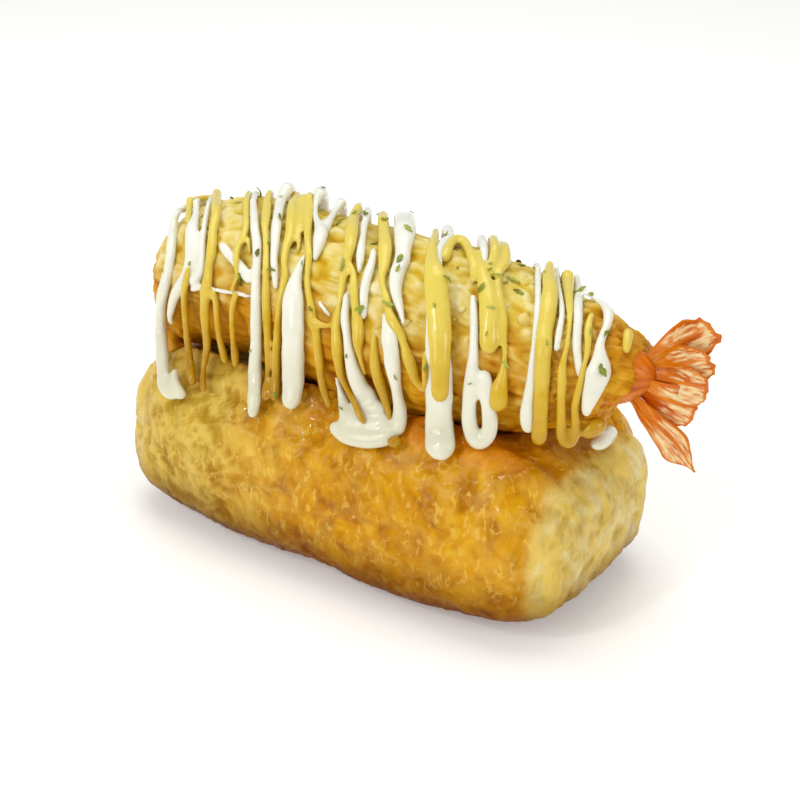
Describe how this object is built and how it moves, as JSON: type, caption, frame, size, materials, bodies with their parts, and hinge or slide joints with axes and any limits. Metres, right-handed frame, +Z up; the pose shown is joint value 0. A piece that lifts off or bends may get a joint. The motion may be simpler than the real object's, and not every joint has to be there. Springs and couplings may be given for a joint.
{
  "type": "inari sushi topped with a fried prawn",
  "caption": "Inari sushi: a simmered tofu pouch topped with a battered fried prawn, striped with mayonnaise and mustard sauce and parsley flakes.",
  "frame": {"origin": "centre of the tofu pouch's underside, on the surface that it rests on", "axes": "+X along the pouch's longest side, towards the prawn's tail; +Z up; -Y is the front, over which the sauces hang lowest"},
  "size_m": [0.088, 0.0374, 0.0483],
  "materials": {
    "tofu_skin": "moist, softly wrinkled fried tofu skin",
    "batter": "craggy fried batter",
    "mayonnaise": "glossy, thick",
    "mustard_sauce": "glossy, thick",
    "parsley": "dry flakes",
    "prawn_shell": "thin, glossy, partly see-through"
  },
  "bodies": {
    "root": {"tofu_pouch": "tofu_skin", "tempura_prawn": "batter", "prawn": "prawn_shell"}
  },
  "joints": []
}
